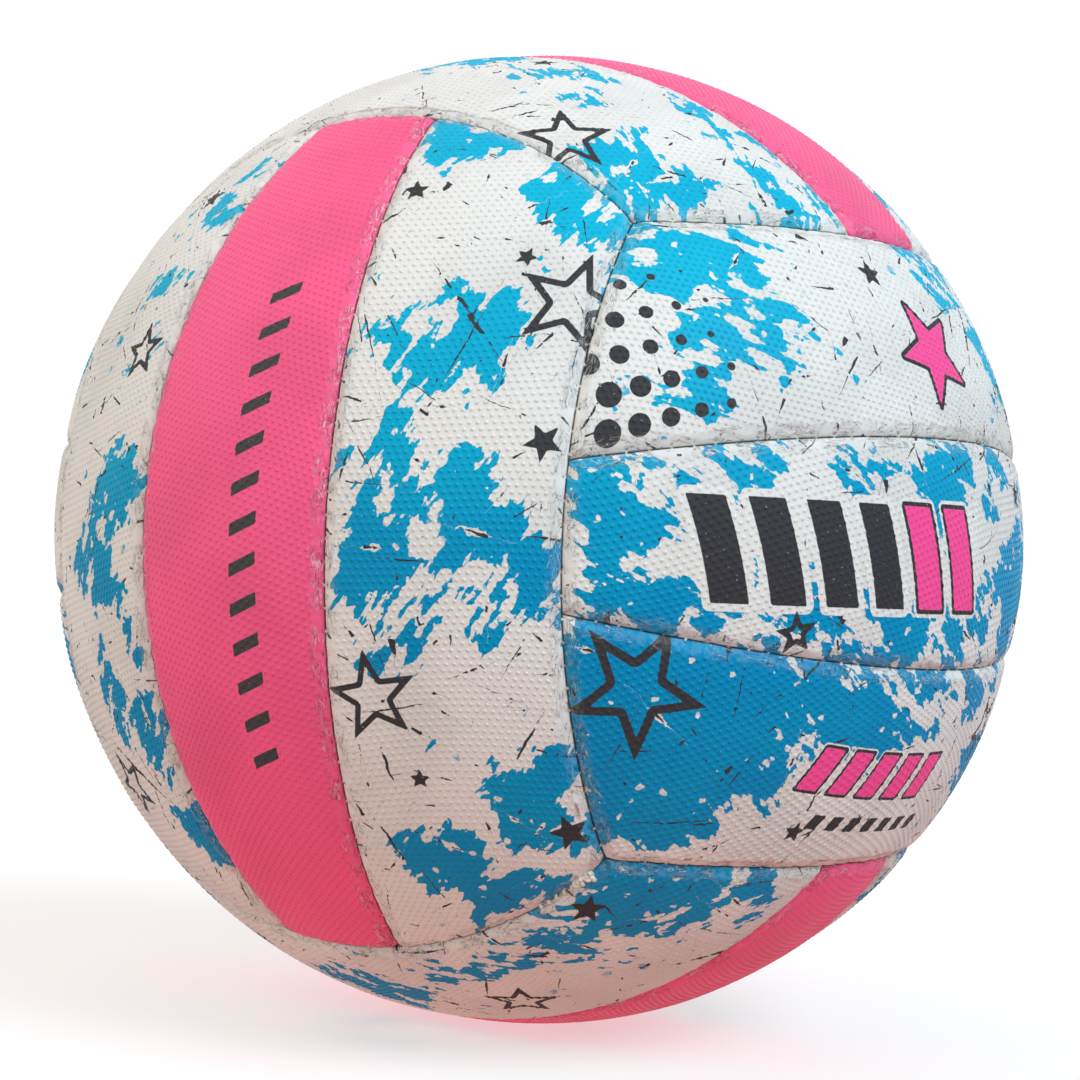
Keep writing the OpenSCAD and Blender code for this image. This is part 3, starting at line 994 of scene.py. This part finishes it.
def make_cover(axis, end, strip):
    index = 6 * axis + 3 * end + strip + 1
    face, place = AXES[axis][end], PLACES[axis][end][strip + 1]
    name, seed = f"{face}_{place}", COVER_SEED + index
    cover, x, radii, seams = panel_mesh(name, face_axes(axis, end), strip, seed, name == "back_middle")
    flat = to_sheet(x, strip)
    distances, alongs = seam_distances(seams, x)
    near = distances.min(0)
    nearest, along = nearest_seam(distances, alongs)
    offset, force = stitch_places(alongs)
    # How far in a stitch hole each point is; the finish darkens the holes with dirt and painted shade
    in_hole = force * np.exp(-(offset / 0.5) ** 2 - ((distances - 0.7) / 0.3) ** 2)
    zero = np.zeros(len(x))
    # The noise of one cover is kept apart from that of the others
    shift = np.array([260 * (index % 5), 310 * (index // 5), 0])
    fields = print_fields(name, face, place, flat)
    fields.update(
        edge=np.clip(near, 0, 30),
        along=along + 300 * nearest + 1300 * index,
        stitch=in_hole.max(0),
        sheet=np.stack([*flat.T, zero], 1) + shift,
        rows=np.stack([*grain_places(*flat.T, seed), zero], 1),
        inner=(radii < LINING_R + 0.1) * (near > 1),
    )
    for key, field in fields.items():
        set_attribute(cover.data, key, field)
    cover.data.set_sharp_from_angle(angle=np.radians(62))
    dress(cover, pink_finish if place == "middle" and face not in ("front", "back") else white_finish)
    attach(cover, "root")
    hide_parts(f"cover_{name}")


def make_lining(axis, end):
    """The three linings of a face as one piece, with the CAD's shape."""
    face = AXES[axis][end]
    nodes = [f"lining_{face}_{place}" for place in PLACES[axis][end]]
    together = bmesh.new()
    for node in nodes:
        together.from_mesh(frame["nodes"][node].data)
    mesh = bpy.data.meshes.new(f"cloth_linings_{face}")
    together.to_mesh(mesh)
    together.free()
    lining = add_object(mesh.name, mesh)
    dress(lining, lining_material)
    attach(lining, "root")
    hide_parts(*nodes)


def owned_seams():
    """The two strip seams and the two long seams that a face's thread runs in."""
    middle, side = panel_seams(0), [panel_seams(s) for s in (1, -1)]
    return [middle[0], middle[2], side[0][0], side[1][2]]


def seam_half(s):
    """Half the length of a seam, to the corner that ends it."""
    if s.level != 0:
        return BALL_R * s.circle * np.arcsin(CORNER / np.sin(CONE))
    return BALL_R * abs(s.turn(inset_corner(s, panel_seams(0)[1], 0)))


def stitch(s, along, lean, reach, top, bow, power):
    """Line of a stitch across a seam, highest in its middle."""
    across = np.linspace(-reach, reach, 9)
    height = top - bow * (np.abs(across) / reach) ** power
    return seam_point(s, along + lean * across, across, height)


def make_thread(axis, end):
    """Twisted thread along the inside of a face's seams, and the stitches that show in their holes."""
    face = AXES[axis][end]
    rng = np.random.default_rng(axis * 2 + end)
    parts = []
    for s in owned_seams():
        half = seam_half(s) - 1.6
        along = np.arange(-half, half, 1.15)
        wave = 0.12 * np.cos(2 * np.pi * along / STITCH_PITCH)
        line = seam_point(s, along, np.zeros(len(along)), CORD_AT + wave)
        parts.append(tube(line, CORD_R, twist=CORD_TWIST))
        last = int((half - 1.5) / STITCH_PITCH - 0.5)
        for k in range(-last - 1, last + 1):
            lean = rng.uniform(0.15, 0.5)
            top = BALL_R - STITCH_DEPTH + rng.uniform(-0.15, 0.15)
            line = stitch(s, (k + 0.5) * STITCH_PITCH, lean, 1, top, 0.8, 2.4)
            parts.append(tube(line, STITCH_R, twist=STITCH_TWIST))
    vertices, faces = joined(parts)
    thread = new_object(f"sewing_thread_{face}", vertices @ face_axes(axis, end), faces)
    dress(thread, thread_material)
    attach(thread, "root")
    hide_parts(f"thread_{face}")


def make_knots():
    """Closing knots on the bottom face's long seam, and the last stitches beside them."""
    s = panel_seams(1)[0]
    first = KNOT_START - seam_half(s)
    # Line of a small overhand knot
    t = np.arange(64) * 2 * np.pi / 64
    x, y, z = np.sin(t) + 2 * np.sin(2 * t), np.cos(t) - 2 * np.cos(2 * t), -1.1 * np.sin(3 * t)
    knot = np.stack([x, y, z], 1) * KNOT_SIZE
    parts = []
    for k in range(2):
        centre = seam_point(s, first + KNOT_GAP * k, 0.15 - 0.5 * k, BALL_R - 0.3)
        out = centre / np.linalg.norm(centre)
        side = np.cross(out, s.normal)
        side /= np.linalg.norm(side)
        basis = np.stack([side * (0.85 + 0.3 * k), np.cross(out, side) * (1.25 - 0.35 * k), out])
        parts.append(tube(knot @ basis + centre, KNOT_R, 10, True, 0))
    for k in range(5):
        top = BALL_R - LAST_STITCH_DEPTH
        line = stitch(s, first + KNOT_GAP + 2.3 + 2.1 * k, 0.5, 0.9, top, LAST_STITCH_DEPTH, 2)
        parts.append(tube(line, LAST_STITCH_R, twist=STITCH_TWIST))
    vertices, faces = joined(parts)
    knots = new_object("closing_knot_thread", vertices @ face_axes(0, 1), faces)
    dress(knots, knot_material)
    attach(knots, "root")
    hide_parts("closing_knots")


for axis in range(3):
    for end in range(2):
        for strip in (-1, 0, 1):
            make_cover(axis, end, strip)
        make_lining(axis, end)
        make_thread(axis, end)
make_knots()
for node, look in RUBBER.items():
    dress(frame["nodes"][node], rubber_finish(SLOTS[node], *look))

# Camera, floor and light

# Camera fitted to the photograph: angles about the ball, distance in the ball's radii, and in the
# photograph's pixels its width, the focal length and the shift of the ball's centre
AZIMUTH, ELEVATION, ROLL = np.radians([-55.378, -0.333, -2.466])
FAR = 5.2732
PHOTO_W, FOCAL = 1080, 2502.81
CENTRE_SHIFT = (-1.4, 0.7)
SENSOR_W = 36

level = np.cos(ELEVATION)
back = np.array([np.sin(AZIMUTH) * level, -np.cos(AZIMUTH) * level, np.sin(ELEVATION)])
right = np.cross([0, 0, 1], back)
right /= np.linalg.norm(right)
upright = np.array([right, np.cross(back, right), back])
roll = np.array([[np.cos(ROLL), -np.sin(ROLL), 0], [np.sin(ROLL), np.cos(ROLL), 0], [0, 0, 1]])
view = roll @ upright
centre = np.array([CENTRE_SHIFT[0] / FOCAL, CENTRE_SHIFT[1] / FOCAL, -1])
centre *= FAR * BALL_R * MM / np.linalg.norm(centre)
camera = add_object("camera", bpy.data.cameras.new("camera"))
camera.data.sensor_width = SENSOR_W
camera.data.lens = SENSOR_W * FOCAL / PHOTO_W
camera.data.clip_start = 0.01
camera.data.clip_end = 100
camera.matrix_world = Matrix.Translation(Vector(-view.T @ centre)) @ Matrix(view.T.tolist()).to_4x4()
bpy.context.scene.camera = camera
bpy.context.scene.view_settings.view_transform = "Standard"


def dress_stage(name, low, high, rough, strength, unseen):
    """Gives the object just made a name and an even finish that shines white, and hides it from some rays."""
    thing = bpy.context.object
    thing.name = name
    f = new_material(f"{name}_finish")
    tone = f.noise(f.place(), 900, 3, 0.5, kind="3D")
    colour = f.mix(tone, (low, low, low, 1), (high, high, high, 1))
    shine = {"Emission Color": (1, 1, 1, 1), "Emission Strength": strength}
    dress(thing, f.finish(colour, rough, **shine))
    for rays in unseen:
        setattr(thing, f"visible_{rays}", False)
    return thing


bpy.ops.mesh.primitive_circle_add(vertices=96, radius=14, fill_type="NGON", location=(0, 0, -BALL_R * MM))
floor = dress_stage("floor", 0.50, 0.52, 0.9, 0.5, ("diffuse", "glossy", "shadow"))
bpy.ops.mesh.primitive_uv_sphere_add(segments=48, ring_count=24, radius=13)
backdrop = dress_stage("backdrop", 0.02, 0.03, 1.0, 1.0, ("diffuse", "glossy", "transmission", "shadow"))

# Soft lights of the world: the way to each in the camera's right, up and back directions, the cosines of
# the angles from it at which the light begins and is full, and its colour
LIGHTS = [
    ((0.8, 0.8, 0.65), (0.9, 1), (5.45, 6.7, 7.7)),
    ((-0.8, 0.7, 0.3), (0, 1), (0.78, 0.53, 0.47)),
    ((-0.3, 0.3, 1), (-0.2, 1), (0.09, 0.19, 0.17)),
    ((0, -1, 0), (0.5, 1), (0.9, 0.08, 0.03)),
    ((-1, 0.2, -0.6), (0.5, 1), (0.1, 0.32, 0.33)),
    ((0.15, 0.15, -1), (0.4, 1), (0.75, 0.73, 0.78)),
]
world = bpy.data.worlds.new("studio")
bpy.context.scene.world = world
sky = Nodes(world)
direction = sky.add("TexCoord").outputs["Generated"]
glow = (0.25, 0.25, 0.23)
for way, spread, colour in LIGHTS:
    way = view.T @ np.array(way)
    facing = sky.vector("DOT_PRODUCT", direction, tuple(way / np.linalg.norm(way)))
    light = sky.vector("SCALE", colour, scale=sky.step(facing, *spread))
    glow = sky.vector("ADD", light, glow)
shine = sky.add("Background", {"Color": glow})
sky.add("OutputWorld", {"Surface": shine.outputs[0]})


# A square soft light that faces the ball, placed in the camera's right, up and back directions
light = bpy.data.lights.new("fill", "AREA")
light.size, light.energy, light.color = 0.35, 0.8, (1.0, 0.97, 0.95)
lamp = add_object("fill", light)
lamp.location = Vector(view.T @ np.array([1.1, 0.75, 0.7]))
lamp.rotation_euler = (-lamp.location).to_track_quat("-Z", "Y").to_euler()
lamp.visible_camera = False
